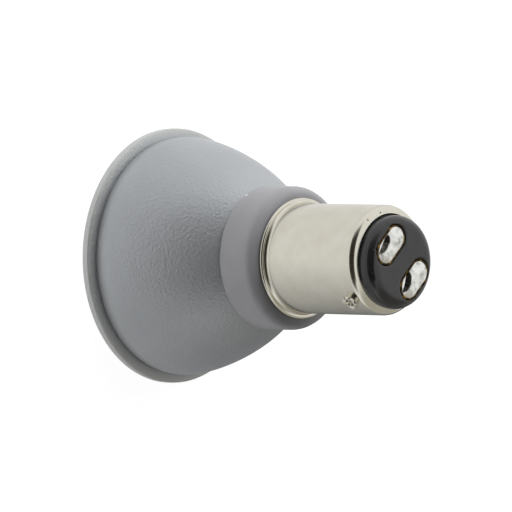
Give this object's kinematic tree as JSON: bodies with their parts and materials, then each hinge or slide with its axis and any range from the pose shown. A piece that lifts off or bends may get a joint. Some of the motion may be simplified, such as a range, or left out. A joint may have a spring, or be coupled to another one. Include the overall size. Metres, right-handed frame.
{
  "type": "reflector bulb",
  "caption": "Reflector bulb: grey cast bowl with a clear lens, a moulded collar and a nickel-plated bayonet base.",
  "frame": {"origin": "centre of the front rim's plane, on which the bulb stands lens down", "axes": "+Z along the bulb's axis, from the rim to the base's contacts; +X along the line through the bayonet pins"},
  "size_m": [0.035, 0.035, 0.0439],
  "materials": {
    "housing_paint": "grey powder coat with a fine pebble grain",
    "collar_plastic": "smooth satin grey moulding",
    "nickel_plate": "satin nickel plate on brass",
    "black_glass": "glossy black glass",
    "bare_brass": "bare pressed brass",
    "solder": "bright tin solder",
    "clear_acrylic": "polished clear acrylic",
    "white_board": "aluminium board with white solder resist",
    "led_silicone": "white package with a yellow phosphor dome",
    "thermal_silicone": "soft grey thermal pad",
    "zinc_steel": "zinc-plated steel",
    "green_board": "glass-fibre board with green solder resist",
    "black_epoxy": "moulded black epoxy",
    "ferrite": "sintered ferrite core",
    "capacitor_can": "aluminium can with a dark sleeve",
    "ceramic": "fired tan ceramic",
    "tinned_copper": "tinned copper wire",
    "red_insulation": "red silicone insulation",
    "black_insulation": "black silicone insulation"
  },
  "bodies": {
    "root": {"reflector_housing": "housing_paint", "lens_plate": "clear_acrylic", "led_board": "white_board", "led_1": "led_silicone", "led_2": "led_silicone", "led_3": "led_silicone", "board_screws": "zinc_steel", "thermal_pad": "thermal_silicone", "collar": "collar_plastic", "collar_screws": "zinc_steel", "base_shell": "nickel_plate", "bayonet_pin_1": "nickel_plate", "bayonet_pin_2": "nickel_plate", "base_insulator": "black_glass", "contact_plate_1": "bare_brass", "contact_plate_2": "bare_brass", "contact_solder_1": "solder", "contact_solder_2": "solder", "driver_board": "green_board", "bridge_rectifier": "black_epoxy", "driver_chip": "black_epoxy", "power_inductor": "ferrite", "smoothing_capacitor": "capacitor_can", "input_capacitor": "ceramic", "sense_resistor": "black_epoxy", "contact_wire_1": "tinned_copper", "contact_wire_2": "tinned_copper", "led_wire_red": "red_insulation", "led_wire_black": "black_insulation"}
  },
  "joints": []
}
